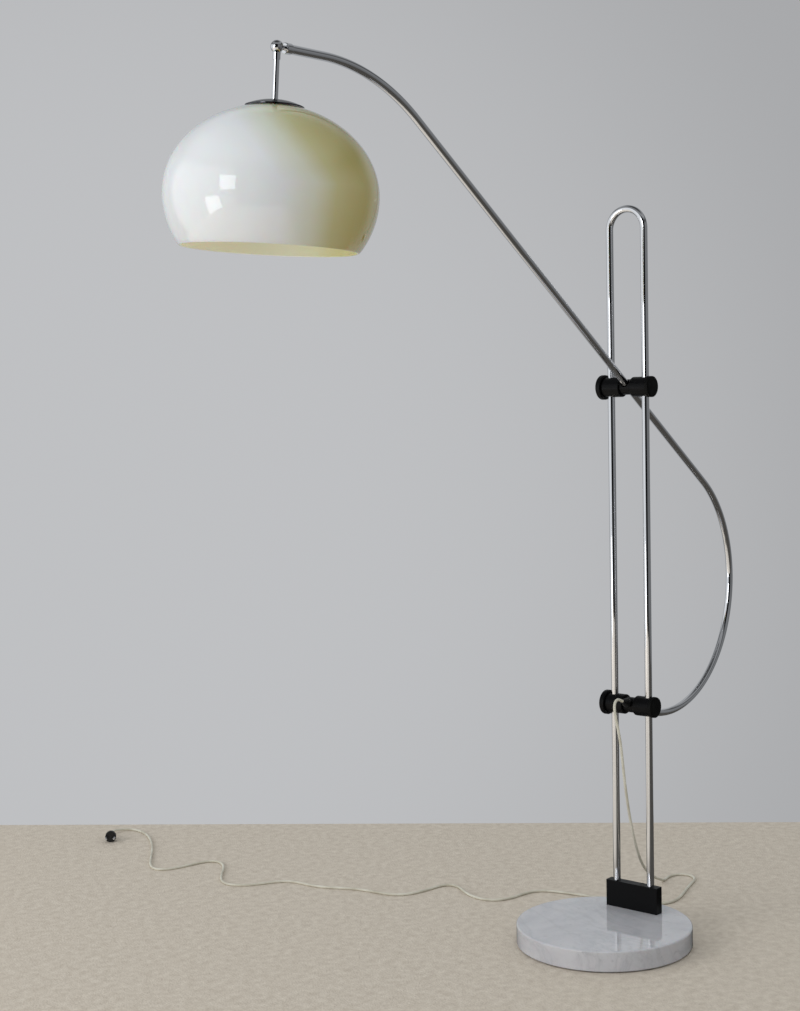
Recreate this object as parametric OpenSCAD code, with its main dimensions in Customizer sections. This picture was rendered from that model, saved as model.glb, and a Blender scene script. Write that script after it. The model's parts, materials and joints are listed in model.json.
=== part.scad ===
// Arc floor lamp: a bent arm held by two clamps on a hairpin stand with a round stone base.
// Millimetres, +Z up. The origin is on the floor, under the middle of the base.
// The arm lies in the XZ plane and reaches towards -X. The hairpin lies in a YZ plane.

/* [Base] */
// Diameter of the marble disc
base_d = 350; // [300:5:450]
// Thickness of the marble disc
marble_t = 40; // [32:1:60]
// Radius of the marble's polished edges
marble_round = 3; // [1:0.5:6]
// Thickness of the felt under the marble
felt_t = 2; // [1:0.5:4]
// How far the felt stays inside the marble's edge
felt_inset = 8; // [4:1:20]

/* [Foot block] */
// Length of the block that holds the two legs
block_l = 120; // [110:1:160]
// Width of the block
block_w = 20; // [19:1:30]
// Height of the block
block_h = 54; // [45:1:80]
// Metal left under the legs' sockets
block_floor = 12; // [8:1:16]

/* [Hairpin stand] */
// Distance from the middle of the base to the hairpin
stand_x = 112; // [90:1:130]
// Distance between the two legs
leg_spacing = 80; // [76:1:100]
// Outer diameter of the hairpin and arm tube
tube_d = 15; // [14:0.5:18]
// Wall of the tubes
tube_wall = 1.5; // [1:0.25:2]
// Height of the hairpin's top over the floor
hairpin_top = 1472; // [1420:1:1700]

/* [Clamps] */
// Height of the upper clamp
upper_z = 1110; // [1050:5:1150]
// Height of the lower clamp
lower_z = 465; // [430:5:500]
// Diameter of the two housings that slide on the legs
housing_d = 40; // [36:1:46]
// Diameter of the barrel that turns between the housings
barrel_d = 31; // [28:0.5:34]
// Length of the barrel
barrel_l = 22; // [21:0.5:26]
// Diameter of the barrel's trunnions
trunnion_d = 18; // [16:0.5:20]
// Length of each trunnion
trunnion_l = 9; // [7:0.5:10]
// Thickness of the friction washers
washer_t = 1; // [0.5:0.25:1.5]
// Distance from a leg's middle to the end of the knob housing
housing_over = 12; // [11:0.5:16]
// Diameter of the knob
knob_d = 50; // [44:1:56]
// Thickness of the knob
knob_t = 12; // [10:0.5:16]
// Diameter of the end cap
cap_d = 42; // [41:0.5:48]
// Thickness of the end cap
cap_t = 8.5; // [7:0.5:12]
// Diameter of the clamping screw
screw_d = 8; // [6:1:10]
// Gap between the arm and the upper barrel's bore, which the arm slides through
slide_gap = 1.5; // [1.4:0.1:1.8]

/* [Arm] */
// Angle of the straight part below the horizontal
arm_slope = 35; // [32:0.5:40]
// Straight length from the upper clamp to the top bend
arm_upper_l = 800; // [600:5:900]
// Radius of the top bend
top_bend_r = 400; // [250:5:450]
// Level length at the high end
tip_level = 75; // [40:5:150]
// Angle at which the tail rises through the lower clamp
tail_slope = 20; // [15:1:26]
// Straight length of the tail before the lower clamp
tail_straight = 60; // [45:1:80]
// Length of the tail past the middle of the lower clamp
tail_out = 23; // [20:1:30]

/* [Shade swivel] */
// Distance from the tube's high end to the middle of the ball
ball_reach = 29; // [27:1:36]
// Diameter of the swivel ball
ball_d = 20.5; // [18:0.5:24]
// Length of the collar on the high end of the tube
collar_l = 13; // [8:1:15]
// Outer diameter of the stem
stem_d = 10; // [9:0.5:12]
// Turn of the neck about the arm's end in the stored pose
neck_turn = 3.4; // [-5:0.1:5]
// Tilt of the stem in the stored pose
stem_tilt = 1.9; // [-5:0.1:5]

/* [Shade] */
// Largest radius of the shade
shade_r = 168; // [140:1:180]
// Distance from the ball down to the shade's widest line
equator_drop = 226; // [222:1:250]
// Height of the curve over the widest line
dome_h = 138; // [130:1:145]
// Half height of the curve under the widest line, as if it were closed
bowl_h = 151; // [140:1:165]
// Distance from the ball down to the rim
rim_drop = 309; // [295:1:325]
// Wall of the shade
shade_wall = 3; // [2:0.5:5]
// Radius of the metal cap on the shade
cap_r = 46; // [40:1:50]
// Height of the cap's dome
cap_rise = 10; // [7:0.5:14]
// Thickness of the cap's metal
cap_wall = 1.5; // [1:0.25:2.5]

/* [Lampholder and bulb] */
// Outer diameter of the lampholder
holder_d = 39; // [36:1:44]
// Length of the lampholder
holder_l = 56; // [50:1:64]
// Diameter of the bulb's glass
bulb_d = 60; // [50:1:70]
// Diameter of the bulb's screw cap
bulb_cap_d = 26.5; // [26:0.1:27]

/* [Cord] */
// Diameter of the mains flex
cord_d = 5.5; // [5:0.1:6]
// Diameter of the plug
plug_d = 27; // [25:1:34]
// Length of the plug's body without the cord's sleeve
plug_l = 24; // [20:1:34]

/* [Hidden] */
$fn = 72;

// Clearances
fit = 0.06;        // running fit, on the radius
slip = 0.3;        // free gap between pieces that move
cut = 1;           // how far a cutting tool passes the face it cuts

// Heights of the base
marble_z = felt_t;
block_z = marble_z + marble_t;
block_top = block_z + block_h;
socket_z = block_z + block_floor;

// Bolts that pull the legs and the block down
bolt_d = 8;
bolt_head_d = 13;
bolt_head_h = 8;
bolt_washer_d = 24;
bolt_washer_t = 2;
bolt_recess = 16;
plug_len = 30;
bolt_grip = 22;

// Hairpin
bend_r = leg_spacing / 2;
bend_z = hairpin_top - bend_r - tube_d / 2;
tube_in = tube_d - 2 * tube_wall;

// Clamps, measured along Y from the middle between the legs
inner_y = barrel_l / 2 + washer_t;
knob_end_y = bend_r + housing_over;
neck_d = 30;
neck_l = 6;
knob_y = knob_end_y + slip;
cap_y = bend_r + tube_d / 2 + 1.5;
cap_lip = 4;
cap_wall_d = 36;
pad_t = 3;
pad_gap = 0.1;
pad_y = bend_r + tube_d / 2 + pad_gap;
groove_w = 5.4;
groove_depth = 1.5;
set_screw_d = 5;
set_screw_y = inner_y + trunnion_l / 2;

// Arm: the lower straight and the lower bend close the path between the two clamps
tail_dir = 180 + tail_slope;
bend_swell = 0.1;
clamp_drop = upper_z - lower_z;
k_x = sin(tail_dir) - sin(arm_slope);
k_z = cos(arm_slope) - cos(tail_dir);
r_x = -tail_straight * cos(tail_dir);
r_z = clamp_drop - tail_straight * sin(tail_dir);
k_det = cos(arm_slope) * k_z - sin(arm_slope) * k_x;
arm_lower_l = (r_x * k_z - k_x * r_z) / k_det;
low_bend_r = (cos(arm_slope) * r_z - sin(arm_slope) * r_x) / k_det;
tip_x = stand_x - arm_upper_l * cos(arm_slope) - top_bend_r * sin(arm_slope) - tip_level;
tip_z = upper_z + arm_upper_l * sin(arm_slope) + top_bend_r * (1 - cos(arm_slope));
low_bend_x = stand_x + arm_lower_l * cos(arm_slope) - low_bend_r * sin(arm_slope);
low_bend_z = upper_z - arm_lower_l * sin(arm_slope) - low_bend_r * cos(arm_slope);

// Strain relief on the tail
relief_from = 17;
relief_over = 4;
relief_l = 19;
relief_d = 19;
relief_tip_d = 9;
relief_tip = relief_from + relief_l;

// Swivel
ball_x = tip_x - ball_reach;
ball_z = tip_z;
neck_tube_d = 8;
collar_d = 17.5;
spigot_l = 15;
sleeve_d = 12.4;
ball_step = 0.1;   // how much smaller the fork's half of the ball is
ball_gap = 0.15;   // from the ball's middle plane to each half
sleeve_end = 19.5;
stem_from = 12.3;
stem_wall = 1.5;
pivot_d = 5;
pivot_head_d = 8;
pivot_head_h = 2;
pivot_seat = ball_d / 2 - 2 * pivot_head_h;

// Shade and what hangs on the stem, measured down from the ball
shade_flat_r = cap_r - 1;
shade_top = equator_drop - dome_h * sqrt(1 - pow(shade_flat_r / shade_r, 2));
shade_steps = 18;
washer_d = 40;
washer_z = shade_top + shade_wall;
nut_z = washer_z + 1.5;
nut_af = 17;
nut_h = 6;
holder_top = nut_z + nut_h + 0.5;
holder_end = holder_top + holder_l;
stem_to = holder_top + 14;
holder_mouth = 30;
bulb_cap_from = holder_end - holder_mouth + 2;
bulb_cap_l = 26;
bulb_neck = bulb_cap_from + bulb_cap_l;
bulb_ball = bulb_neck + 48;
bulb_wall = 0.8;

// Cord: the free route from the tail to the plug, chosen by hand
cord_z = 3;
drop_route = [
    [70, 0, 480.5], [56.5, -1.5, 485.5], [39.5, -4.5, 480.5], [28, -12.5, 461], [39, -19, 410], [44, -23, 330],
    [70, -17, 250], [125, 0, 155], [215, 34, 88], [340, 88, 36]
];
floor_start = [430, 122, cord_z];
floor_route = [
    [470, 131, cord_z], [498, 118, cord_z], [501, 88, cord_z], [474, 65, cord_z],
    [420, 56, cord_z], [285, 4, cord_z], [254, 90, cord_z], [225, 240, cord_z], [208, 322, cord_z],
    [110, 314, cord_z], [70, 360, cord_z], [92, 428, cord_z], [124, 462, cord_z],
    [120, 505, cord_z], [55, 504, cord_z], [-24, 528, cord_z], [-16, 640, cord_z],
    [-80, 720, cord_z], [-56, 815, cord_z], [-160, 848, cord_z], [-192, 925, cord_z],
    [-62, 1012, cord_z], [-50, 1082, cord_z], [-170, 1086, cord_z], [-210, 1135, cord_z],
    [-100, 1235, cord_z], [12, 1370, cord_z], [24, 1458, cord_z], [-28, 1470, 6]
];
plug_x = -60;
plug_y = 1435;
plug_z = plug_d / 2 + 0.1;
plug_turn = 225;
plug_sleeve_l = 22;
cord_sides = 8;
pin_d = 4.8;
pin_l = 19;
pin_gap = 19;

// ---- helpers ----

// A cylinder along +Z whose two ends have rounded edges
module rounded_rod(d, l, low, high) {
    rotate_extrude() intersection() {
        square([d / 2, l]);
        union() {
            translate([0, low]) square([d / 2, l - low - high]);
            square([d / 2 - low, l / 2]);
            translate([0, l / 2]) square([d / 2 - high, l / 2]);
            translate([d / 2 - low, low]) circle(low);
            translate([d / 2 - high, l - high]) circle(high);
        }
    }
}

// A flat ring along +Z
module ring(outer, inner, l) {
    difference() {
        cylinder(d = outer, h = l);
        translate([0, 0, -cut]) cylinder(d = inner, h = l + 2 * cut);
    }
}

// Puts its children, built along +Z, along +Y from y
module along_y(y) {
    translate([0, y, 0]) rotate([-90, 0, 0]) children();
}

// Puts its children, built along +Z, along -Y from -y
module along_minus_y(y) {
    translate([0, -y, 0]) rotate([90, 0, 0]) children();
}

// Turns its children, built along +Z, to run along the XZ direction at this angle below +X
module heading(angle) {
    rotate([0, 90 + angle, 0]) children();
}

module at_clamp(z) {
    translate([stand_x, 0, z]) children();
}

module at_legs() {
    for (side = [-1, 1]) translate([stand_x, side * bend_r, 0]) children();
}

// The swivel's neck frame, and the hanging frame of the stem with -Z down the stem
module at_neck() {
    translate([ball_x, 0, ball_z]) rotate([neck_turn, 0, 0]) children();
}

module at_stem() {
    at_neck() rotate([0, stem_tilt, 0]) children();
}

// Hangs its children, built along +Z, from a distance below the ball
module hung(drop, l) {
    at_stem() translate([0, 0, -drop - l]) children();
}

// ---- base ----

module marble_base() {
    color("whitesmoke") difference() {
        translate([0, 0, marble_z]) rounded_rod(base_d, marble_t, marble_round, marble_round);
        at_legs() translate([0, 0, marble_z - cut]) cylinder(d = bolt_washer_d + 2, h = bolt_recess + cut);
        at_legs() translate([0, 0, marble_z]) cylinder(d = bolt_d + 1, h = marble_t + cut);
    }
}

module felt_pad() {
    color("dimgray") difference() {
        cylinder(d = base_d - 2 * felt_inset, h = felt_t);
        at_legs() translate([0, 0, -cut]) cylinder(d = bolt_washer_d + 2, h = felt_t + 2 * cut);
    }
}

module base_bolts() {
    color("silver") at_legs() {
        translate([0, 0, marble_z + bolt_recess - bolt_washer_t - bolt_head_h])
            cylinder(d = bolt_head_d, h = bolt_head_h, $fn = 6);
        translate([0, 0, marble_z + bolt_recess - bolt_washer_t])
            cylinder(d = bolt_d, h = socket_z + bolt_grip - marble_z - bolt_recess + bolt_washer_t);
    }
}

module base_washers() {
    color("silver") at_legs() translate([0, 0, marble_z + bolt_recess - bolt_washer_t])
        ring(bolt_washer_d, bolt_d + 2 * fit, bolt_washer_t);
}

module foot_block() {
    color("#151515") difference() {
        translate([stand_x - block_w / 2, -block_l / 2, block_z]) cube([block_w, block_l, block_h]);
        at_legs() translate([0, 0, socket_z]) cylinder(d = tube_d + 2 * fit, h = block_h);
        at_legs() translate([0, 0, block_z - cut]) cylinder(d = bolt_d + 1, h = block_floor + 2 * cut);
    }
}

module hairpin_tube() {
    color("lightgray") {
        at_legs() translate([0, 0, socket_z]) ring_tube(bend_z - socket_z);
        translate([stand_x, 0, bend_z]) rotate([90, 0, 90]) rotate_extrude(angle = 180)
            translate([bend_r, 0]) tube_section();
    }
}

module tube_section() {
    difference() {
        circle(d = tube_d);
        circle(d = tube_in);
    }
}

module ring_tube(l) {
    linear_extrude(l) tube_section();
}

module leg_plugs() {
    color("silver") at_legs() translate([0, 0, socket_z])
        ring(tube_in - 2 * fit, bolt_d + 2 * fit, plug_len);
}

// ---- clamps ----

module knob(z) {
    color("#161616") at_clamp(z) difference() {
        along_y(knob_y) rounded_rod(knob_d, knob_t, 2.5, 4);
        along_y(knob_y - cut) cylinder(d = neck_d + 2 * slip, h = neck_l + slip + cut);
        along_y(knob_y) cylinder(d = screw_d, h = knob_t - 2.5);
    }
}

module knob_screw(z) {
    color("silver") at_clamp(z)
        along_y(pad_y + pad_t + fit) cylinder(d = screw_d, h = knob_y + knob_t - 2.5 - pad_y - pad_t - fit);
}

module pressure_pad(z) {
    color("goldenrod") at_clamp(z) along_y(pad_y) cylinder(d = screw_d - 0.2, h = pad_t);
}

// What both housings share: the seat of a trunnion, the hole for the leg and the set screw's hole
module housing_holes(side) {
    translate([0, side * (inner_y - cut), 0]) rotate([-side * 90, 0, 0])
        cylinder(d = trunnion_d + 2 * fit, h = trunnion_l + cut + slip);
    translate([0, side * bend_r, -housing_d]) cylinder(d = tube_d + 2 * fit, h = 2 * housing_d);
    translate([0, side * set_screw_y, -housing_d]) cylinder(d = set_screw_d + 0.1, h = housing_d);
}

module knob_housing(z) {
    color("#1b1b1b") at_clamp(z) difference() {
        union() {
            along_y(inner_y) rounded_rod(housing_d, knob_end_y - inner_y, 2.5, 0.5);
            along_y(knob_end_y - cut) cylinder(d = neck_d, h = neck_l + cut);
        }
        housing_holes(1);
        along_y(bend_r) cylinder(d = screw_d + 2 * fit, h = knob_end_y + neck_l);
    }
}

module cap_housing(z) {
    color("#1b1b1b") at_clamp(z) difference() {
        union() {
            along_minus_y(inner_y) rounded_rod(housing_d, cap_y - inner_y, 2.5, 0.5);
            along_minus_y(cap_y - cut) cylinder(d = cap_wall_d, h = cap_lip + cut);
        }
        housing_holes(-1);
    }
}

module end_cap(z) {
    color("#202020") at_clamp(z) difference() {
        along_minus_y(cap_y + 0.1) rounded_rod(cap_d, cap_t, 0.8, 2.5);
        along_minus_y(cap_y + 0.1 - cut) cylinder(d = cap_wall_d + 0.1, h = cap_lip + cut);
    }
}

module arm_barrel(z, angle, bore) {
    color("#181818") at_clamp(z) difference() {
        union() {
            along_y(-barrel_l / 2) rounded_rod(barrel_d, barrel_l, 1, 1);
            along_y(-barrel_l / 2 - washer_t - trunnion_l)
                cylinder(d = trunnion_d, h = barrel_l + 2 * washer_t + 2 * trunnion_l);
        }
        heading(angle) translate([0, 0, -barrel_d]) cylinder(d = bore, h = 2 * barrel_d);
        for (side = [-1, 1]) along_y(side * set_screw_y - groove_w / 2)
            ring(trunnion_d + 2, trunnion_d - 2 * groove_depth, groove_w);
    }
}

module friction_washers(z) {
    color("ivory") at_clamp(z) {
        along_y(barrel_l / 2) ring(barrel_d - 1, trunnion_d + 2 * slip, washer_t);
        along_minus_y(barrel_l / 2) ring(barrel_d - 1, trunnion_d + 2 * slip, washer_t);
    }
}

module set_screws(z) {
    color("dimgray") at_clamp(z) for (side = [-1, 1])
        translate([0, side * set_screw_y, -housing_d / 2 + 1])
            cylinder(d = set_screw_d, h = housing_d / 2 - 1 - trunnion_d / 2 + groove_depth - slip);
}

// ---- arm ----

// The frame of the arm at the upper clamp, with +X down the arm
module at_arm() {
    at_clamp(upper_z) rotate([0, arm_slope, 0]) children();
}

// The frame at the start of the tail's straight, with +X towards the tail's end
module at_tail() {
    at_arm() translate([arm_lower_l, 0, -low_bend_r]) rotate([0, tail_dir - arm_slope, 0])
        translate([0, 0, low_bend_r]) children();
}

// The frame at the level end of the top bend, with +X back towards the bend
module at_tip() {
    at_arm() translate([-arm_upper_l, 0, -top_bend_r]) rotate([0, -arm_slope, 0])
        translate([0, 0, top_bend_r]) children();
}

// A round section, hollow where inner is more than 0
module section(outer, inner) {
    difference() {
        circle(d = outer);
        if (inner > 0) circle(d = inner);
    }
}

// Sweeps a section along the arm's path. The bends are a hair thicker, and the straights reach into them.
module along_arm(outer, inner, tip_more) {
    into = 1;
    fat = outer + bend_swell;
    thin = inner > 0 ? inner - bend_swell : 0;
    at_tip() translate([-tip_level - tip_more, 0, 0]) heading(0)
        linear_extrude(tip_level + tip_more + into) section(outer, inner);
    at_arm() translate([-arm_upper_l, 0, -top_bend_r]) rotate([90, 0, 0]) rotate([0, 0, 90])
        rotate_extrude(angle = arm_slope) translate([top_bend_r, 0]) section(fat, thin);
    at_arm() translate([-arm_upper_l - into, 0, 0]) heading(0)
        linear_extrude(arm_upper_l + arm_lower_l + 2 * into) section(outer, inner);
    at_arm() translate([arm_lower_l, 0, -low_bend_r]) rotate([90, 0, 0])
        rotate([0, 0, 90 + arm_slope - tail_dir])
        rotate_extrude(angle = tail_dir - arm_slope) translate([low_bend_r, 0]) section(fat, thin);
    at_tail() translate([-into, 0, 0]) heading(0)
        linear_extrude(tail_straight + tail_out + into) section(outer, inner);
}

module arm_tube() {
    color("lightgray") along_arm(tube_d, tube_in, 0);
}

module arm_flex() {
    color("ivory") along_arm(cord_d, 0, ball_reach - ball_d / 2 - 4);
}

module tail_strain_relief() {
    color("#141414") at_clamp(lower_z) heading(tail_dir) difference() {
        union() {
            translate([0, 0, relief_from]) cylinder(d = relief_d, h = relief_over);
            translate([0, 0, relief_from + relief_over])
                cylinder(d1 = relief_d, d2 = relief_tip_d, h = relief_l - relief_over);
        }
        translate([0, 0, relief_from - cut]) cylinder(d = tube_d + 2 * fit, h = tail_out - relief_from + cut);
        cylinder(d = cord_d + 0.3, h = relief_tip + cut);
    }
}

module tip_collar() {
    color("#2a2a2a") at_tip() translate([-tip_level, 0, 0]) heading(0) difference() {
        union() {
            translate([0, 0, -collar_l]) rounded_rod(collar_d, collar_l, 1.5, 0.5);
            cylinder(d = tube_in - 2 * fit, h = spigot_l);
        }
        translate([0, 0, -collar_l - cut]) cylinder(d = neck_tube_d + 2 * fit, h = collar_l + spigot_l + 2 * cut);
    }
}

// ---- swivel ----

// The part of a ball at least this far to one side of the middle plane Y = 0
module half_ball(side, d, from) {
    intersection() {
        sphere(d = d);
        translate([-d, side > 0 ? from : -d - from, -d]) cube([2 * d, d, 2 * d]);
    }
}

module swivel_neck() {
    color("#8a8a8a") at_neck() difference() {
        union() {
            half_ball(-1, ball_d, ball_gap);
            difference() {
                translate([4, 0, 0]) heading(0) cylinder(d = neck_tube_d, h = ball_reach + spigot_l - 5);
                half_ball(1, ball_d + 2 * slip, 0);
            }
        }
        along_y(-ball_d) cylinder(d = pivot_d + 2 * fit, h = 2 * ball_d);
        along_y(-ball_d) cylinder(d = pivot_head_d + 0.2, h = ball_d - pivot_seat);
        translate([ball_d / 2 + 2, 0, 0]) heading(0) cylinder(d = cord_d + 0.6, h = ball_reach + spigot_l);
    }
}

module swivel_fork() {
    color("#8a8a8a") at_stem() difference() {
        union() {
            half_ball(1, ball_d - ball_step, ball_gap);
            difference() {
                translate([0, 0, -sleeve_end]) cylinder(d = sleeve_d, h = sleeve_end - 6);
                half_ball(-1, ball_d + 2 * slip + ball_step, 0);
            }
        }
        along_y(-cut) cylinder(d = pivot_d, h = ball_d / 2 - 2 + cut);
        translate([0, 0, -sleeve_end - cut]) cylinder(d = stem_d + 2 * fit, h = sleeve_end - stem_from + cut + 0.1);
    }
}

module swivel_pivot() {
    color("silver") at_stem() {
        along_y(-pivot_seat - pivot_head_h) cylinder(d = pivot_head_d, h = pivot_head_h);
        along_y(-pivot_seat) cylinder(d = pivot_d, h = pivot_seat + ball_d / 2 - 2.2);
    }
}

// ---- shade group ----

module stem_tube() {
    color("#7d7d7d") hung(stem_from, stem_to - stem_from)
        ring(stem_d, stem_d - 2 * stem_wall, stem_to - stem_from);
}

module stem_flex() {
    color("ivory") hung(stem_from + 2, stem_to - stem_from)
        cylinder(d = cord_d, h = stem_to - stem_from);
}

module shade_cap() {
    dome_r = (cap_r * cap_r + cap_rise * cap_rise) / (2 * cap_rise);
    skirt = 3;
    color("#5a5a5c") at_stem() translate([0, 0, -shade_top]) rotate_extrude() {
        difference() {
            intersection() {
                translate([0, skirt + cap_rise - dome_r]) circle(dome_r, $fn = 180);
                square([cap_r, skirt + cap_rise]);
            }
            translate([0, skirt + cap_rise - dome_r]) circle(dome_r - cap_wall, $fn = 180);
            square([cap_r - cap_wall, skirt]);
            square([stem_d / 2 + fit, 2 * cap_rise + skirt]);
        }
    }
}

// Radius of an ellipse with these half axes at a height over its widest line
function ellipse_r(a, b, h) = a * sqrt(max(0, 1 - pow(h / b, 2)));

// One side of the shade's wall from the flat top to the rim, as [radius, -distance below the ball]
function shade_side(inset) = let (
    top = shade_top + inset,
    up = equator_drop - top,
    down = rim_drop - equator_drop
) [
    for (i = [0 : shade_steps - 1]) let (h = up * cos(90 * i / shade_steps))
        [ellipse_r(shade_r - inset, dome_h - inset, h), h - equator_drop],
    for (i = [0 : shade_steps / 2]) let (h = down * 2 * i / shade_steps)
        [ellipse_r(shade_r - inset, bowl_h - inset, h), -h - equator_drop]
];

module shade() {
    outer = shade_side(0);
    inner = shade_side(shade_wall);
    hole = stem_d / 2 + 0.5;
    color("ivory") at_stem() rotate_extrude() polygon(concat(
        [[hole, -shade_top]],
        outer,
        [for (i = [len(inner) - 1 : -1 : 0]) inner[i]],
        [[hole, -shade_top - shade_wall]]
    ));
}

module shade_washer() {
    color("silver") hung(washer_z, nut_z - washer_z) ring(washer_d, stem_d + 2 * fit, nut_z - washer_z);
}

module shade_nut() {
    color("silver") hung(nut_z, nut_h) difference() {
        cylinder(d = nut_af / cos(30), h = nut_h, $fn = 6);
        translate([0, 0, -cut]) cylinder(d = stem_d + 2 * fit, h = nut_h + 2 * cut);
    }
}

module lampholder_body() {
    wide = holder_d / 2;
    color("#1a1a1a") at_stem() difference() {
        rotate_extrude() polygon([
            [0, -holder_top], [10, -holder_top], [10, -holder_top - 6], [wide - 3, -holder_top - 12],
            [wide, -holder_top - 16], [wide, -holder_end], [0, -holder_end]
        ]);
        translate([0, 0, -stem_to]) cylinder(d = stem_d + 2 * fit, h = stem_to);
        translate([0, 0, -holder_end - cut]) cylinder(d = bulb_cap_d + 0.3, h = holder_mouth + cut);
        translate([0, 0, -holder_end]) cylinder(d = cord_d + 1, h = holder_end - stem_to + cut);
    }
}

module lampholder_ring() {
    color("#202020") hung(holder_top + 32, 8) ring(holder_d + 7, holder_d + 0.1, 8);
}

module bulb_cap() {
    color("silver") hung(bulb_cap_from, bulb_cap_l) cylinder(d = bulb_cap_d, h = bulb_cap_l);
}

// One side of the bulb from its neck to the middle of its far end, as [radius, -distance below the ball]
function bulb_side(inset) = let (r = bulb_d / 2 - inset) concat(
    [[13 - inset, -bulb_neck], [15 - inset, -bulb_neck - 14]],
    [for (a = [22 : -8 : -90]) [r * cos(a), r * sin(a) - bulb_ball]]
);

module bulb_glass() {
    outer = bulb_side(0);
    inner = bulb_side(bulb_wall);
    color("white") at_stem() rotate_extrude()
        polygon(concat(outer, [for (i = [len(inner) - 1 : -1 : 0]) inner[i]]));
}

// ---- cord ----

// A smooth curve near the route's points, with two points for each stretch between them
function eased(p) = let (
    n = len(p) - 1,
    q = concat([2 * p[0] - p[1]], p, [2 * p[n] - p[n - 1]])
) [
    for (i = [1 : n]) each [
        (q[i - 1] + 4 * q[i] + q[i + 1]) / 6,
        (q[i - 1] + 23 * (q[i] + q[i + 1]) + q[i + 2]) / 48
    ],
    p[n]
];

function unit(v) = v / norm(v);

function run(p, i) = unit(p[min(i + 1, len(p) - 1)] - p[max(i - 1, 0)]);

// A ring of points about p[i], square to the way the cord runs there
function cord_ring(p, i, start, end) = let (
    way = i == 0 ? start : (i == len(p) - 1 ? end : run(p, i)),
    side = unit(cross(way, abs(way[2]) > 0.99 ? [0, 1, 0] : [0, 0, 1])),
    up = cross(side, way)
) [
    for (k = [0 : cord_sides - 1]) let (a = 360 * (k + 0.5) / cord_sides)
        p[i] + cord_d / 2 * (cos(a) * side + sin(a) * up)
];

module cord(p, start, end) {
    rings = len(p);
    last = (rings - 1) * cord_sides;
    points = [for (i = [0 : rings - 1]) each cord_ring(p, i, start, end)];
    sides = [
        for (i = [0 : rings - 2], k = [0 : cord_sides - 1]) let (n = (k + 1) % cord_sides)
            each [
                [i * cord_sides + k, (i + 1) * cord_sides + n, i * cord_sides + n],
                [i * cord_sides + k, (i + 1) * cord_sides + k, (i + 1) * cord_sides + n]
            ]
    ];
    low = [for (k = [0 : cord_sides - 1]) k];
    high = [for (k = [cord_sides - 1 : -1 : 0]) last + k];
    polyhedron(points, concat(sides, [low, high]));
}

tail_way = [cos(tail_dir), 0, -sin(tail_dir)];
cord_exit = [stand_x, 0, lower_z] + tail_way * relief_tip;
floor_way = unit(floor_route[0] - drop_route[len(drop_route) - 1]);
plug_back = [plug_x, plug_y, plug_z];
plug_way = [cos(plug_turn), sin(plug_turn), 0];

module cord_drop() {
    color("ivory") cord(eased(concat([cord_exit], drop_route, [floor_start])), tail_way, floor_way);
}

module cord_floor() {
    color("ivory") cord(eased(concat([floor_start], floor_route, [plug_back])), floor_way, plug_way);
}

module at_plug() {
    translate(plug_back) rotate([0, 90, plug_turn]) children();
}

module plug_body() {
    color("#121212") at_plug() {
        cylinder(d1 = cord_d + 3, d2 = 13, h = plug_sleeve_l);
        translate([0, 0, plug_sleeve_l]) cylinder(d1 = 17, d2 = plug_d - 3, h = plug_l * 0.45);
        translate([0, 0, plug_sleeve_l + plug_l * 0.45]) rounded_rod(plug_d, plug_l * 0.55, 2, 1);
    }
}

module plug_pins() {
    color("silver") at_plug() for (side = [-1, 1])
        translate([0, side * pin_gap / 2, plug_sleeve_l + plug_l]) rounded_rod(pin_d, pin_l, 0.1, 1.5);
}

// ---- one line for each node ----

marble_base();
felt_pad();
base_bolts();
base_washers();
foot_block();
hairpin_tube();
leg_plugs();
knob(upper_z);  // upper_knob
knob_screw(upper_z);  // upper_knob_screw
pressure_pad(upper_z);  // upper_pressure_pad
knob_housing(upper_z);  // upper_knob_housing
cap_housing(upper_z);  // upper_cap_housing
end_cap(upper_z);  // upper_end_cap
arm_barrel(upper_z, arm_slope, tube_d + 2 * slide_gap);  // upper_arm_barrel
friction_washers(upper_z);  // upper_friction_washers
set_screws(upper_z);  // upper_set_screws
knob(lower_z);  // lower_knob
knob_screw(lower_z);  // lower_knob_screw
pressure_pad(lower_z);  // lower_pressure_pad
knob_housing(lower_z);  // lower_knob_housing
cap_housing(lower_z);  // lower_cap_housing
end_cap(lower_z);  // lower_end_cap
arm_barrel(lower_z, tail_dir, tube_d + 2 * fit);  // lower_arm_barrel
friction_washers(lower_z);  // lower_friction_washers
set_screws(lower_z);  // lower_set_screws
arm_tube();
arm_flex();
tail_strain_relief();
tip_collar();
swivel_neck();
swivel_fork();
swivel_pivot();
stem_tube();
stem_flex();
shade_cap();
shade();
shade_washer();
shade_nut();
lampholder_body();
lampholder_ring();
bulb_cap();
bulb_glass();
cord_drop();
cord_floor();
plug_body();
plug_pins();
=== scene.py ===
"""Arc floor lamp: the looks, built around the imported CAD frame.

Lengths are metres, and +Z is up, in the CAD's own frame.
"""
import json
import math

import bmesh
import bpy
from mathutils import Matrix, Vector


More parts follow.
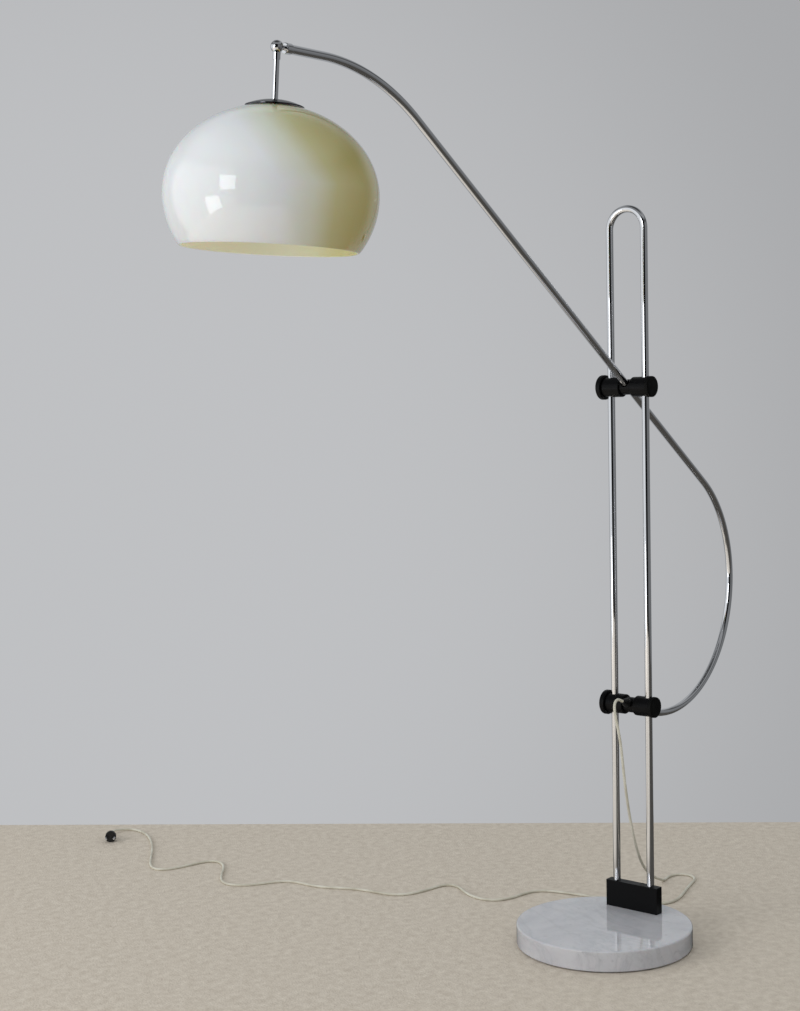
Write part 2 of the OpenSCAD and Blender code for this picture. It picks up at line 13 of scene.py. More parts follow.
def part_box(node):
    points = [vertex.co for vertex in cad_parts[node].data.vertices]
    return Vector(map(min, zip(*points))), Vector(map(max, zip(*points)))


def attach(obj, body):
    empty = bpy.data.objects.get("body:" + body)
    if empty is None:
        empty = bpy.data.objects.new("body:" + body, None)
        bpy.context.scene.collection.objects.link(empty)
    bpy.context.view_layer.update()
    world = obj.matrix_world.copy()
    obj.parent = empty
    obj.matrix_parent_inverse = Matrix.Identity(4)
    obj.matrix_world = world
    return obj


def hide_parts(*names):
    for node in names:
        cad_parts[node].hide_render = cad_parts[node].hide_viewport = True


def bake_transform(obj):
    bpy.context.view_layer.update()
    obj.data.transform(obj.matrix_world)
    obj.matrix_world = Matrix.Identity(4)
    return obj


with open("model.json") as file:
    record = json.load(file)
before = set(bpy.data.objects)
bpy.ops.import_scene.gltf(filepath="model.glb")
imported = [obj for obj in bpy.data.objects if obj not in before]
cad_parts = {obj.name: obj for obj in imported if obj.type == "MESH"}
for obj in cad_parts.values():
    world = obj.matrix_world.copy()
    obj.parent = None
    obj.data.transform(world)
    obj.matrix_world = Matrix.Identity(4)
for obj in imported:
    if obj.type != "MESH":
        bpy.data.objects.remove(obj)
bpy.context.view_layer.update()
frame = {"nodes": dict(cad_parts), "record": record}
NODES = frame["nodes"]
JOINTS = {j["name"]: j for j in frame["record"]["behaviour"]["joints"]}
scene = bpy.context.scene

# ---- driving dimensions ----

TUBE_R = 0.0075
TUBE_WALL = 0.0015
CORD_D = 0.0055

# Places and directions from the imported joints
STAND_X = JOINTS["arm_tilt"]["pos_m"][0]
LOWER_Z = JOINTS["arm_tilt"]["pos_m"][2]
UPPER_Z = JOINTS["upper_barrel_turn"]["pos_m"][2]
BALL = Vector(JOINTS["neck_turn"]["pos_m"])
STEM_UP = Vector(JOINTS["shade_swivel"]["axis"]).normalized()
KNUCKLE = Vector(JOINTS["shade_tilt"]["axis"]).normalized()

# The arm: its long straight, which the upper clamp holds, with the bend and the tip above it
ARM_SLOPE = math.radians(35)
ARM_UPPER_L = 0.8
TOP_BEND_R = 0.4
TIP_LEVEL = 0.075
# Its tail: the straight before the lower clamp, and how far past it the tube and relief reach
TAIL_SLOPE = math.radians(20)
TAIL_STRAIGHT = 0.060
TAIL_OUT = 0.023
RELIEF_TIP = 0.036

# The shade: its drops go down from the ball, and its dome and bowl are parts of ellipses
SHADE_R = 0.168
EQUATOR_DROP = 0.226
DOME_H = 0.138
BOWL_H = 0.151
RIM_DROP = 0.309
SHADE_FLAT_R = 0.045
SHADE_WALL = 0.003
STEM_HOLE_R = 0.0055
RIM_FLAT = 0.0018
RIM_ROUND = 0.0007

# ---- camera ----

CAMERA_AT = Vector((-2.7457, -1.8035, 1.1088))
CAMERA_FORWARD = Vector((0.76277, 0.64309, -0.06794))
CAMERA_RIGHT = Vector((0.64338, -0.76527, -0.02040))
CAMERA_LENS = 59.21
CAMERA_SENSOR = 36
CAMERA_SEES = 60


def make_camera():
    data = bpy.data.cameras.new("camera")
    data.lens = CAMERA_LENS
    data.sensor_width = CAMERA_SENSOR
    data.clip_end = CAMERA_SEES
    cam = bpy.data.objects.new("camera", data)
    up = CAMERA_RIGHT.cross(CAMERA_FORWARD)
    rot = Matrix((CAMERA_RIGHT, up, -CAMERA_FORWARD)).transposed()
    cam.matrix_world = Matrix.Translation(CAMERA_AT) @ rot.to_4x4()
    scene.collection.objects.link(cam)
    scene.camera = cam


make_camera()

# ---- shader helpers ----

# The Mix node's factor and two colours among its inputs, and its colour among its outputs
MIX_INPUTS = (0, 6, 7)
MIX_RESULT = 2


class Graph:
    """Short calls for the shader nodes that the materials and the room share."""

    def __init__(self, tree):
        self.tree = tree

    def add(self, kind, **settings):
        node = self.tree.nodes.new("ShaderNode" + kind)
        for key, value in settings.items():
            setattr(node, key, value)
        return node

    def feed(self, socket, value):
        """Links another node's output to the socket, or sets the socket's own value."""
        if isinstance(value, bpy.types.NodeSocket):
            self.tree.links.new(value, socket)
        else:
            socket.default_value = value

    def math(self, kind, a, b=0.0):
        node = self.add("Math", operation=kind)
        self.feed(node.inputs[0], a)
        self.feed(node.inputs[1], b)
        return node.outputs[0]

    def vector(self, kind, a, b):
        node = self.add("VectorMath", operation=kind)
        self.feed(node.inputs[0], a)
        self.feed(node.inputs[1], b)
        return node.outputs["Value" if kind == "DOT_PRODUCT" else "Vector"]

    def height(self, vector):
        node = self.add("SeparateXYZ")
        self.feed(node.inputs[0], vector)
        return node.outputs["Z"]

    def mix(self, fac, a, b, kind="MIX"):
        node = self.add("Mix", data_type="RGBA", blend_type=kind)
        for place, value in zip(MIX_INPUTS, (fac, a, b)):
            self.feed(node.inputs[place], (*value, 1) if isinstance(value, tuple) else value)
        return node.outputs[MIX_RESULT]

    def ramp(self, fac, *stops, interpolation="LINEAR"):
        """Looks fac up among stops of (place, colour), where a colour may be one grey number."""
        node = self.add("ValToRGB")
        node.color_ramp.interpolation = interpolation
        while len(node.color_ramp.elements) < len(stops):
            node.color_ramp.elements.new(0.5)
        for element, (place, colour) in zip(node.color_ramp.elements, stops):
            element.position = place
            element.color = (*colour, 1) if isinstance(colour, tuple) else (colour,) * 3 + (1,)
        self.feed(node.inputs["Fac"], fac)
        return node.outputs["Color"]


class Nodes(Graph):
    """A material being put together, in the object's own coordinates."""

    def __init__(self, name):
        self.mat = bpy.data.materials.new(name)
        self.mat.use_nodes = True
        super().__init__(self.mat.node_tree)
        self.shader = self.tree.nodes["Principled BSDF"]
        self.coords = self.add("TexCoord").outputs["Object"]

    def set(self, **values):
        for key, value in values.items():
            self.shader.inputs[key.replace("_", " ")].default_value = value

    def mapped(self, scale, rotation=(0, 0, 0)):
        node = self.add("Mapping")
        node.inputs["Scale"].default_value = scale
        node.inputs["Rotation"].default_value = rotation
        self.feed(node.inputs["Vector"], self.coords)
        return node.outputs["Vector"]

    def noise(self, scale, detail, distortion=0.0, vector=None, roughness=0.5):
        node = self.add("TexNoise")
        node.inputs["Scale"].default_value = scale
        node.inputs["Detail"].default_value = detail
        node.inputs["Roughness"].default_value = roughness
        node.inputs["Distortion"].default_value = distortion
        self.feed(node.inputs["Vector"], vector or self.coords)
        return node.outputs["Fac"]

    def ridges(self, scale, detail, distortion, stretch, roughness):
        """0 along thin winding lines, and more away from them."""
        noise = self.noise(scale, detail, distortion, self.mapped(stretch), roughness)
        return self.math("ABSOLUTE", self.math("SUBTRACT", noise, 0.5))

    def colour(self, socket):
        self.feed(self.shader.inputs["Base Color"], socket)

    def rough(self, socket):
        self.feed(self.shader.inputs["Roughness"], socket)

    def bump(self, height, distance, strength):
        node = self.add("Bump")
        node.inputs["Strength"].default_value = strength
        node.inputs["Distance"].default_value = distance
        self.feed(node.inputs["Height"], height)
        self.feed(self.shader.inputs["Normal"], node.outputs["Normal"])


def scaled(tint, gain):
    """The tint made darker or lighter, and no lighter than white."""
    return tuple(min(1, c * gain) for c in tint)


# ---- materials ----

BLACK_SHINE = 0.14
SHADE_MIDDLE = (-0.877, 0.0, 1.415)
# How fast the acrylic turns yellow and darker, real yellowing and painted shade in one, for
# each metre from the shade's middle, along each axis and with the height above or below it,
# how much the blotches add, and a factor for their sum
YELLOW_AND_SHADE_SIDE = (3.83, -4.55, 1.6)
YELLOW_AND_SHADE_ENDS = 2.6
AGED_BLOTCHES = 0.12
YELLOW_AND_SHADE_GAIN = 0.9


def chrome(name, tint, base_rough, spread=0.03):
    """Plated steel: a clean mirror with faint smears and dust that soften it in places."""
    m = Nodes(name)
    m.set(Metallic=1.0)
    smear = m.noise(14, 5, 0.4, m.mapped((1, 1, 0.3)))
    m.colour(m.ramp(smear, (0.35, scaled(tint, 0.95)), (0.65, tint)))
    m.rough(m.ramp(m.noise(9, 6), (0.45, base_rough), (0.8, base_rough + spread)))
    return m.mat


def satin_black(name, tint, base_rough, grain):
    """Black painted metal: dark, with a fine grain, and rubbed a little glossier in patches."""
    m = Nodes(name)
    m.colour(m.ramp(m.noise(25, 6), (0.3, scaled(tint, 0.7)), (0.75, scaled(tint, 1.6))))
    m.rough(m.ramp(m.noise(60, 5), (0.3, base_rough), (0.75, base_rough + 0.12)))
    m.set(Specular_IOR_Level=BLACK_SHINE)
    m.bump(m.noise(grain, 3), 0.00008, 0.2)
    return m.mat


def knurled_black():
    """Rougher black, for the end caps."""
    m = Nodes("knurled_black")
    m.colour(m.ramp(m.noise(40, 6), (0.3, 0.0012), (0.8, (0.004, 0.004, 0.0037))))
    m.rough(m.ramp(m.noise(90, 4), (0.3, 0.5), (0.7, 0.68)))
    m.set(Specular_IOR_Level=BLACK_SHINE)
    m.bump(m.noise(900, 3), 0.0002, 0.4)
    return m.mat


def marble():
    """Polished pale grey marble: soft clouds, a few faint veins and small grey specks."""
    m = Nodes("marble")
    drift = m.noise(5.5, 9, 1.0, m.mapped((1, 1.6, 2.2), (0.3, 0.2, 0.7)), 0.62)
    clouds = m.ramp(
        drift,
        (0.30, (0.535, 0.535, 0.57)), (0.50, (0.615, 0.615, 0.645)), (0.72, (0.675, 0.672, 0.695)),
    )
    broad = m.ridges(3.4, 10, 2.0, (1.3, 0.8, 2), 0.66)
    vein = m.ramp(broad, (0.0, 0.34), (0.010, 0.16), (0.05, 0.0))
    fine = m.ridges(11.0, 8, 1.5, (0.7, 1.4, 2), 0.6)
    thread = m.ramp(fine, (0.0, 0.18), (0.012, 0.0))
    veined = m.mix(vein, clouds, (0.36, 0.37, 0.40))
    spots = m.ramp(m.noise(70, 3), (0.64, 0.0), (0.74, 0.5))
    m.colour(m.mix(m.mix(1.0, thread, spots, "LIGHTEN"), veined, (0.40, 0.41, 0.44)))
    m.rough(m.ramp(m.noise(30, 5), (0.35, 0.06), (0.75, 0.12)))
    m.set(Coat_Weight=0.6, Coat_Roughness=0.03, Subsurface_Weight=0.05, Subsurface_Scale=0.004)
    m.bump(m.noise(140, 4), 0.00006, 0.06)
    return m.mat


def felt():
    """Black felt, with a pale bloom of loose fibres."""
    m = Nodes("felt")
    m.colour(m.ramp(m.noise(400, 6), (0.3, (0.012, 0.012, 0.013)), (0.7, (0.05, 0.05, 0.052))))
    m.set(Roughness=0.95, Sheen_Weight=0.5)
    m.bump(m.noise(900, 4), 0.0006, 0.9)
    return m.mat


def opal(name, glow=0.0):
    """Glossy white acrylic, yellow and darker towards its top and the side away from the window,
    which is real yellowing together with painted shade.

    glow stands for the daylight that comes through the wall to its inside.
    """
    m = Nodes(name)
    place = m.vector("SUBTRACT", m.coords, SHADE_MIDDLE)
    # Painted shade with real yellowing: the colour turns yellower and darker towards the side away
    # from the window and away from the middle height.
    yellowed_and_shaded = m.vector("DOT_PRODUCT", place, YELLOW_AND_SHADE_SIDE)
    ends = m.math("MULTIPLY", m.math("ABSOLUTE", m.height(place)), YELLOW_AND_SHADE_ENDS)
    blotches = m.math("MULTIPLY", m.noise(7, 4), AGED_BLOTCHES)
    yellowed_and_shaded = m.math("ADD", m.math("ADD", yellowed_and_shaded, ends), blotches)
    m.colour(m.ramp(
        m.math("MULTIPLY", yellowed_and_shaded, YELLOW_AND_SHADE_GAIN),
        (0.14, (0.845, 0.84, 0.86)), (0.38, (0.76, 0.78, 0.66)), (0.56, (0.62, 0.62, 0.34)),
        (0.78, (0.50, 0.485, 0.19)),
    ))
    m.rough(m.ramp(m.noise(35, 6), (0.4, 0.04), (0.8, 0.09)))
    m.set(Coat_Weight=0.5, Coat_Roughness=0.03, Subsurface_Weight=0.25, Subsurface_Scale=0.02)
    if glow:
        m.set(Emission_Color=(0.80, 0.80, 0.50, 1), Emission_Strength=glow)
    m.bump(m.noise(45, 2), 0.0001, 0.03)
    return m.mat


def sheath():
    """The flex's cream plastic, a little yellowed and handled."""
    m = Nodes("sheath")
    m.colour(m.ramp(m.noise(30, 6), (0.3, (0.55, 0.52, 0.42)), (0.65, (0.74, 0.72, 0.62))))
    m.rough(m.ramp(m.noise(80, 4), (0.3, 0.4), (0.7, 0.55)))
    m.bump(m.noise(500, 3), 0.0002, 0.25)
    return m.mat


def moulded(name, tint, base_rough):
    """Moulded plastic with a fine sparked grain."""
    m = Nodes(name)
    m.colour(m.ramp(m.noise(35, 5), (0.3, scaled(tint, 0.8)), (0.7, scaled(tint, 1.25))))
    m.rough(m.ramp(m.noise(70, 4), (0.3, base_rough), (0.7, base_rough + 0.15)))
    m.bump(m.noise(1400, 3), 0.0002, 0.35)
    return m.mat


def brushed(name, tint, base_rough):
    """Turned metal, with fine level lines."""
    m = Nodes(name)
    m.set(Metallic=1.0)
    lines = m.noise(1.0, 3, 0.0, m.mapped((40, 40, 900)))
    m.colour(m.ramp(lines, (0.3, scaled(tint, 0.85)), (0.7, tint)))
    m.rough(m.ramp(lines, (0.3, base_rough), (0.7, base_rough + 0.15)))
    m.bump(lines, 0.00005, 0.3)
    return m.mat


def frosted_glass():
    """The bulb's white-coated glass."""
    m = Nodes("frosted_glass")
    m.colour(m.ramp(m.noise(25, 4), (0.3, (0.86, 0.85, 0.80)), (0.7, (0.93, 0.92, 0.88))))
    m.rough(m.ramp(m.noise(60, 3), (0.3, 0.25), (0.7, 0.38)))
    m.set(Transmission_Weight=0.1, Subsurface_Weight=0.3, Subsurface_Scale=0.01)
    m.bump(m.noise(700, 2), 0.0001, 0.1)
    return m.mat


CHROME = chrome("mirror_chrome", (0.86, 0.86, 0.88), 0.03)
# Painted shade: the shade cap's chrome is tinted near black, for the dark ceiling that it mirrors.
PAINTED_DARK_CHROME = chrome("dark_chrome", (0.07, 0.07, 0.078), 0.14, 0.08)
BLACK = satin_black("satin_black", (0.0016, 0.0016, 0.0020), 0.30, 700)
KNURLED = knurled_black()
MARBLE = marble()
FELT = felt()
OPAL = opal("opal_acrylic")
OPAL_INSIDE = opal("opal_acrylic_inside", 0.16)
SHEATH = sheath()
BLACK_PLASTIC = moulded("black_plastic", (0.003, 0.003, 0.0033), 0.42)
ZINC = brushed("zinc_steel", (0.62, 0.62, 0.64), 0.28)
BRASS = brushed("brass", (0.68, 0.50, 0.22), 0.3)
FROSTED = frosted_glass()

LOOKS = {
    "marble_base": MARBLE, "felt_pad": FELT, "base_bolts": ZINC, "base_washers": ZINC,
    "foot_block": BLACK, "leg_plugs": ZINC, "arm_flex": SHEATH, "tail_strain_relief": BLACK_PLASTIC,
    "tip_collar": CHROME, "swivel_neck": CHROME, "swivel_fork": CHROME, "swivel_pivot": ZINC,
    "stem_tube": CHROME, "stem_flex": SHEATH, "shade_cap": PAINTED_DARK_CHROME, "shade_washer": ZINC,
    "shade_nut": ZINC, "lampholder_body": BLACK_PLASTIC, "lampholder_ring": BLACK_PLASTIC,
    "bulb_cap": ZINC, "bulb_glass": FROSTED, "plug_pins": ZINC, "plug_body": BLACK_PLASTIC,
    "hairpin_tube": CHROME, "arm_tube": CHROME, "shade": OPAL,
    "cord_drop": SHEATH, "cord_floor": SHEATH,
}
CLAMP_LOOKS = {
    "knob": BLACK, "knob_screw": ZINC, "pressure_pad": BRASS, "knob_housing": BLACK,
    "cap_housing": BLACK, "end_cap": KNURLED, "arm_barrel": BLACK,
    "friction_washers": BLACK_PLASTIC, "set_screws": ZINC,
}
for level in ("upper", "lower"):
    for part, look in CLAMP_LOOKS.items():
        LOOKS[f"{level}_{part}"] = look


def dress(node, look):
    """Gives a CAD node its material."""
    obj = NODES[node]
    for slot in obj.material_slots:
        slot.material = look
    if not obj.material_slots:
        obj.data.materials.append(look)


for node_name, node_look in LOOKS.items():
    dress(node_name, node_look)

# ---- mesh helpers ----

TUBE_SIDES = 48
CORD_SIDES = 16
SHADE_SEGMENTS = 160
CRISP_ANGLE = math.radians(35)


def new_mesh(name, look, body, vertices, faces, smooth=True):
    """An object of these faces, which rides on the body where one is given."""
    data = bpy.data.meshes.new(name)
    data.from_pydata([tuple(v) for v in vertices], [], faces)
    data.validate()
    for poly in data.polygons:
        poly.use_smooth = smooth
    data.materials.append(look)
    obj = bpy.data.objects.new(name, data)
    scene.collection.objects.link(obj)
    if body:
        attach(obj, body)
    return obj


def sweep(name, look, body, path, radius, sides, wall=0.0):
    """A round tube along a path of points, open and hollow where wall is more than 0."""
    path = [Vector(p) for p in path]
    ways = []
    for i in range(len(path)):
        ways.append((path[min(i + 1, len(path) - 1)] - path[max(i - 1, 0)]).normalized())
    side = ways[0].orthogonal().normalized()
    rings = []
    for point, way in zip(path, ways):
        side = (side - way * side.dot(way)).normalized()
        rings.append((point, side, way.cross(side)))
    vertices, faces = [], []
    radii = [radius] if wall <= 0 else [radius, radius - wall]
    for r in radii:
        for point, across, up in rings:
            for k in range(sides):
                a = 2 * math.pi * k / sides
                vertices.append(point + r * (math.cos(a) * across + math.sin(a) * up))
    n = len(rings)
    for layer in range(len(radii)):
        base = layer * n * sides
        for i in range(n - 1):
            for k in range(sides):
                a = base + i * sides + k
                b = base + i * sides + (k + 1) % sides
                quad = (a, b, b + sides, a + sides)
                faces.append(quad if layer == 0 else quad[::-1])
    if wall > 0:
        inner = n * sides
        for end, flip in ((0, True), ((n - 1) * sides, False)):
            for k in range(sides):
                a, b = end + k, end + (k + 1) % sides
                quad = (a, b, b + inner, a + inner)
                faces.append(quad[::-1] if flip else quad)
    else:
        faces.append(tuple(range(sides))[::-1])
        faces.append(tuple((n - 1) * sides + k for k in range(sides)))
    return new_mesh(name, look, body, vertices, faces)


def lathe(name, look, body, profile, place, segments):
    """Turns a closed profile of (radius, height) about the +Z of the matrix place."""
    vertices, faces = [], []
    for r, h in profile:
        for k in range(segments):
            a = 2 * math.pi * k / segments
            vertices.append(place @ Vector((r * math.cos(a), r * math.sin(a), h)))
    for i in range(len(profile)):
        ring, after = i * segments, (i + 1) % len(profile) * segments
        for k in range(segments):
            n = (k + 1) % segments
            faces.append((ring + k, ring + n, after + n, after + k))
    obj = new_mesh(name, look, body, vertices, faces)
    tidy_normals(obj)
    return obj


def tidy_normals(obj):
    """Turns the faces outwards, and keeps edges sharper than CRISP_ANGLE crisp."""
    mesh = bmesh.new()
    mesh.from_mesh(obj.data)
    bmesh.ops.recalc_face_normals(mesh, faces=mesh.faces)
    for edge in mesh.edges:
        if len(edge.link_faces) == 2:
            edge.smooth = edge.calc_face_angle(0) < CRISP_ANGLE
    mesh.to_mesh(obj.data)
    mesh.free()


# ---- cords ----

CORD_EXIT = (
    STAND_X - RELIEF_TIP * math.cos(TAIL_SLOPE), 0.0, LOWER_Z + RELIEF_TIP * math.sin(TAIL_SLOPE),
)
CORD_Z = 0.003
CORD_STEPS = 8
DROP_ROUTE = [
    (0.070, 0.000, 0.4805), (0.0565, -0.0015, 0.4855), (0.0395, -0.0045, 0.4805),
    (0.028, -0.0125, 0.461), (0.039, -0.019, 0.410), (0.044, -0.023, 0.330),
    (0.070, -0.017, 0.250), (0.125, 0.000, 0.155), (0.215, 0.034, 0.088), (0.340, 0.088, 0.036)
]
FLOOR_START = (0.430, 0.122, CORD_Z)
FLOOR_ROUTE = [
    (0.470, 0.131), (0.498, 0.118), (0.501, 0.088), (0.474, 0.065), (0.420, 0.056), (0.285, 0.004),
    (0.254, 0.090), (0.225, 0.240), (0.208, 0.322), (0.110, 0.314), (0.070, 0.360), (0.092, 0.428),
    (0.124, 0.462), (0.120, 0.505), (0.055, 0.504), (-0.024, 0.528), (-0.016, 0.640),
    (-0.080, 0.720), (-0.056, 0.815), (-0.160, 0.848), (-0.192, 0.925), (-0.062, 1.012),
    (-0.050, 1.082), (-0.170, 1.086), (-0.210, 1.135), (-0.100, 1.235), (0.012, 1.370),
    (0.024, 1.458)
]
LAST_BEND = (-0.028, 1.470, 0.006)
PLUG_BACK = (-0.060, 1.435, 0.0136)


def eased(points, steps):
    """A smooth curve near the route's points, as in the CAD, with steps between each two."""
    points = [Vector(p) for p in points]
    points = [2 * points[0] - points[1]] + points + [2 * points[-1] - points[-2]]
    out = []
    for a, b, c, d in zip(points, points[1:], points[2:], points[3:]):
        for t in (k / steps for k in range(steps)):
            out.append((
                (1 - t) ** 3 * a + (3 * t ** 3 - 6 * t ** 2 + 4) * b
                + (-3 * t ** 3 + 3 * t ** 2 + 3 * t + 1) * c + t ** 3 * d
            ) / 6)
    return out + [points[-2]]


def make_cords():
    """The flex in its two stretches: the hanging one, from the lower clamp, rides on no body."""
    fine_drop = eased([CORD_EXIT] + DROP_ROUTE + [FLOOR_START], CORD_STEPS)
    lying_route = [(x, y, CORD_Z) for x, y in FLOOR_ROUTE]
    fine_floor = eased([FLOOR_START] + lying_route + [LAST_BEND, PLUG_BACK], CORD_STEPS)
    drop = sweep("hanging_flex", SHEATH, None, fine_drop, CORD_D / 2, CORD_SIDES)
    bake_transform(drop)
    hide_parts("cord_drop")
    lying = sweep("lying_flex", SHEATH, "stand", fine_floor, CORD_D / 2, CORD_SIDES)
    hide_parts("cord_floor")


make_cords()

# ---- bent tubes ----

HAIRPIN_STEPS = 48
TOP_BEND_STEPS = 24
LOW_BEND_STEPS = 72


def hairpin_path():
    """The middle line of the hairpin: up one leg, round the bend and down the other."""
    low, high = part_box("hairpin_tube")
    spread = (high[1] - low[1]) / 2 - TUBE_R
    top = high[2] - TUBE_R - spread
    points = [Vector((STAND_X, spread, low[2]))]
    for i in range(HAIRPIN_STEPS + 1):
        a = math.pi * i / HAIRPIN_STEPS
        points.append(Vector((STAND_X, spread * math.cos(a), top + spread * math.sin(a))))
    return points + [Vector((STAND_X, -spread, low[2]))]


def bend(centre, radius, start, end, steps):
    """Points of an arc in the arm's plane, between angles that run from straight up to +X."""
    points = []
    for i in range(steps + 1):
        a = start + (end - start) * i / steps
        points.append(centre + radius * Vector((math.sin(a), 0, math.cos(a))))
    return points


def arm_path():
    """The middle line of the arm from its high end to its tail, through both clamps.

    The straight below the upper clamp and the radius of the lower bend follow from the rest.
    """
    slope, tail = ARM_SLOPE, math.pi + TAIL_SLOPE
    kx, kz = math.sin(tail) - math.sin(slope), math.cos(slope) - math.cos(tail)
    rx = -TAIL_STRAIGHT * math.cos(tail)
    rz = UPPER_Z - LOWER_Z - TAIL_STRAIGHT * math.sin(tail)
    det = math.cos(slope) * kz - math.sin(slope) * kx
    lower_l = (rx * kz - kx * rz) / det
    low_r = (math.cos(slope) * rz - math.sin(slope) * rx) / det
    down = Vector((math.cos(slope), 0, -math.sin(slope)))
    square = Vector((-math.sin(slope), 0, -math.cos(slope)))
    clamp = Vector((STAND_X, 0, UPPER_Z))
    top_centre = clamp - down * ARM_UPPER_L + square * TOP_BEND_R
    low_centre = clamp + down * lower_l + square * low_r
    points = bend(top_centre, TOP_BEND_R, 0, slope, TOP_BEND_STEPS)
    points.insert(0, points[0] - Vector((TIP_LEVEL, 0, 0)))
    points += bend(low_centre, low_r, slope, tail, LOW_BEND_STEPS)
    tail_way = Vector((math.cos(tail), 0, -math.sin(tail)))
    return points + [Vector((STAND_X, 0, LOWER_Z)) + tail_way * TAIL_OUT]


hairpin = sweep("hairpin", CHROME, "stand", hairpin_path(), TUBE_R, TUBE_SIDES, TUBE_WALL)
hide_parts("hairpin_tube")
arm = sweep("arm", CHROME, "arm", arm_path(), TUBE_R, TUBE_SIDES, TUBE_WALL)
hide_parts("arm_tube")
for tube in (hairpin, arm):
    tidy_normals(tube)

# ---- shade ----

DOME_STEPS = 40
BOWL_STEPS = 20
HANG = Matrix.Translation(BALL) @ Matrix(
    (KNUCKLE.cross(STEM_UP), KNUCKLE, STEM_UP)
).transposed().to_4x4()


def shade_side(inset):
    """One side of the wall from its flat top to the rim, as (radius, height from the ball)."""
    wide, dome, bowl = SHADE_R - inset, DOME_H - inset, BOWL_H - inset
    up = DOME_H * math.sqrt(1 - (SHADE_FLAT_R / SHADE_R) ** 2) - inset
    down = RIM_DROP - EQUATOR_DROP
    points = []
    for i in range(DOME_STEPS):
        h = up * math.cos(math.pi / 2 * i / DOME_STEPS)
        points.append((wide * math.sqrt(1 - (h / dome) ** 2), h - EQUATOR_DROP))
    for i in range(BOWL_STEPS + 1):
        h = down * i / BOWL_STEPS
        points.append((wide * math.sqrt(1 - (h / bowl) ** 2), -h - EQUATOR_DROP))
    return points


def make_shade():
    """The shade's wall as one closed skin, with its lip rounded and its inside glowing faintly."""
    outer, inner = shade_side(0), shade_side(SHADE_WALL)
    top = outer[0][1]
    rim_r = (outer[-1][0] + inner[-1][0]) / 2
    rim = [(rim_r + RIM_FLAT / 2, -RIM_DROP), (rim_r - RIM_FLAT / 2, -RIM_DROP)]
    for side in (outer, inner):
        side[-1] = (side[-1][0], RIM_ROUND - RIM_DROP)
    profile = (
        [(STEM_HOLE_R, top)] + outer + rim + inner[::-1] + [(STEM_HOLE_R, top - SHADE_WALL)]
    )
    obj = lathe("shade_shell", OPAL, "shade", profile, HANG, SHADE_SEGMENTS)
    obj.data.materials.append(OPAL_INSIDE)
    outside_faces = (len(outer) + len(rim) - 1) * SHADE_SEGMENTS
    for poly in obj.data.polygons[outside_faces:]:
        poly.material_index = 1
    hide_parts("shade")


make_shade()

# ---- floor, light and backdrop ----

# Directions in the room from the lamp, as (azimuth, elevation) in degrees
WINDOW = (144, 4)
BEHIND_VIEWER = (213, 8)
BEHIND_LAMP = (40, 0)
BACKDROP_GLOW = (52, -4)
PANES = ((179, 9), (160, -14))
PANE_HALF = 0.15
PANE_LIGHT = 3.2
LIGHT_AT = (-4.3, 2.2, 2.1)
LIGHT_TARGET = (0, 0, 0.9)
LIGHT_SIZE = (2.2, 2.2)
LIGHT_POWER = 74
LIGHT_COLOUR = (1.0, 0.99, 1.0)
# The floor: the way in which it runs off behind the lamp, its edges along it and half its width
FLOOR_AWAY = (0.805, 0.594, 0)
FLOOR_FAR = 0.93
FLOOR_NEAR = -4.2
FLOOR_HALF = 3.6
# The way to the window over the floor
WINDOW_SIDE = (-0.81, 0.59, 0)


def make_floor():
    """A pale floor whose far edge runs at a slant behind the lamp.

    In the chrome its colour is painted light and shade: bright towards the window, dark elsewhere.
    """
    m = Nodes("floor")
    pale = m.ramp(m.noise(60, 6), (0.3, (0.61, 0.54, 0.45)), (0.7, (0.74, 0.67, 0.57)))
    mirrored = m.add("LightPath").outputs["Is Glossy Ray"]
    side = m.vector("DOT_PRODUCT", m.coords, WINDOW_SIDE)
    # Painted light and shade: the floor as the chrome sees it, bright towards the window and dark
    # elsewhere.
    painted_light_and_shade = m.ramp(side, (0.10, (0.10, 0.092, 0.08)), (0.45, (0.95, 0.88, 0.78)))
    m.colour(m.mix(mirrored, pale, painted_light_and_shade))
    m.set(Roughness=0.95)
    m.bump(m.noise(220, 5), 0.003, 0.6)
    away = Vector(FLOOR_AWAY).normalized()
    along = Vector((away.y, -away.x, 0)) * FLOOR_HALF
    far, near = away * FLOOR_FAR, away * FLOOR_NEAR
    corners = [far + along, far - along, near - along, near + along]
    obj = new_mesh("floor", m.mat, None, corners, [(0, 1, 2, 3)], smooth=False)


def make_light():
    """A soft light from the window side, for dull surfaces. The chrome mirrors the room instead."""
    data = bpy.data.lights.new("window_light", "AREA")
    data.shape = "RECTANGLE"
    data.size, data.size_y = LIGHT_SIZE
    data.energy = LIGHT_POWER
    data.color = LIGHT_COLOUR
    obj = bpy.data.objects.new("window_light", data)
    obj.location = LIGHT_AT
    obj.rotation_euler = (Vector(LIGHT_TARGET) - obj.location).to_track_quat("-Z", "Y").to_euler()
    obj.visible_glossy = False
    scene.collection.objects.link(obj)


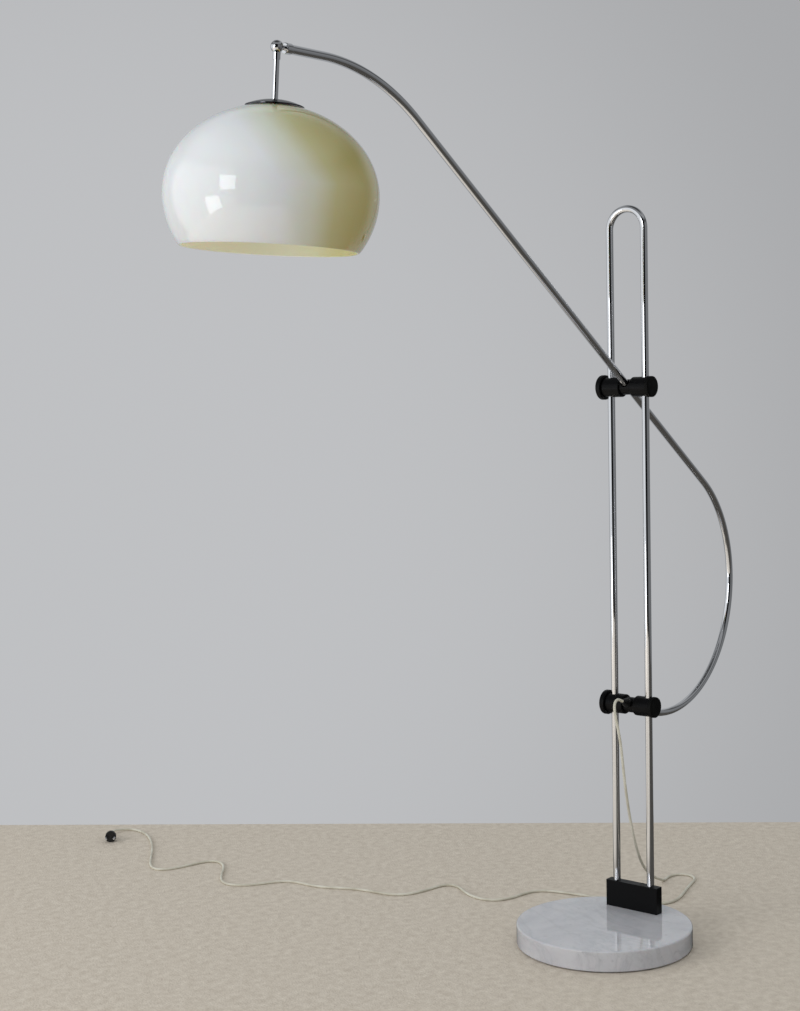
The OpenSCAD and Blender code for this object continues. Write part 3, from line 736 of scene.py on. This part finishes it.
class Sky(Graph):
    """The room around the lamp as light by direction, put together from soft-edged zones."""

    def __init__(self):
        world = bpy.data.worlds.new("room")
        scene.world = world
        world.use_nodes = True
        super().__init__(world.node_tree)
        self.way = self.add("TexCoord").outputs["Generated"]

    def towards(self, azimuth, elevation):
        """The cosine of the angle from a direction, which is 1 straight towards it."""
        a, e = math.radians(azimuth), math.radians(elevation)
        direction = (math.cos(a) * math.cos(e), math.sin(a) * math.cos(e), math.sin(e))
        return self.vector("DOT_PRODUCT", self.way, direction)

    def band(self, value, *stops):
        """The value looked up in a smooth ramp of (value, light) pairs from -1 to 1."""
        unit = self.math("MULTIPLY", self.math("ADD", value, 1.0), 0.5)
        stops = [(place * 0.5 + 0.5, light) for place, light in stops]
        return self.ramp(unit, *stops, interpolation="EASE")

    def pane(self, azimuth, elevation):
        """A bright square in a direction, which reaches PANE_HALF to each side as a sine."""
        across = self.towards(azimuth + 90, 0)
        up = self.math("SUBTRACT", self.towards(0, 90), math.sin(math.radians(elevation)))
        light = PANE_LIGHT
        for offset in (across, up):
            near = self.math("LESS_THAN", self.math("ABSOLUTE", offset), PANE_HALF)
            light = self.math("MULTIPLY", near, light)
        ahead = self.math("GREATER_THAN", self.towards(azimuth, elevation), 0)
        return self.math("MULTIPLY", light, ahead)

    def tint(self, light, colour):
        return self.mix(1.0, light, colour, "MULTIPLY")


def make_world():
    """Grey walls, a bright window side, a dark band behind the viewer and a dim ceiling.

    The camera sees a plain backdrop, and dull surfaces are lit by an even soft light.
    """
    sky = Sky()
    height = sky.height(sky.way)
    walls = sky.band(height, (-0.3, 0.14), (0.30, 0.20), (0.50, 0.07), (0.72, 0.30), (1.0, 0.05))
    window = sky.band(sky.towards(*WINDOW), (0.66, 0.0), (0.76, 0.60))
    low_only = sky.band(height, (0.42, 1.0), (0.55, 0.0))
    dark = sky.band(sky.towards(*BEHIND_VIEWER), (0.82, 1.0), (0.91, 0.03))
    wall = sky.band(sky.towards(*BEHIND_LAMP), (0.55, 0.0), (0.8, 0.24))
    light = sky.math("ADD", sky.math("ADD", walls, wall), sky.math("MULTIPLY", window, low_only))
    light = sky.math("MULTIPLY", light, dark)
    for direction in PANES:
        light = sky.math("ADD", light, sky.pane(*direction))
    backdrop = sky.band(sky.towards(*BACKDROP_GLOW), (0.86, 0.40), (1.0, 0.535))
    diffuse = sky.band(height, (-0.5, 0.52), (1.0, 0.60))
    paths = sky.add("LightPath").outputs
    light = sky.tint(light, (0.965, 1.0, 1.03))
    light = sky.mix(paths["Is Diffuse Ray"], light, sky.tint(diffuse, (0.98, 1.0, 1.01)))
    light = sky.mix(paths["Is Camera Ray"], light, sky.tint(backdrop, (0.978, 0.992, 1.02)))
    sky.feed(sky.tree.nodes["Background"].inputs["Color"], light)


make_floor()
make_world()
make_light()
scene.view_settings.view_transform = "Standard"
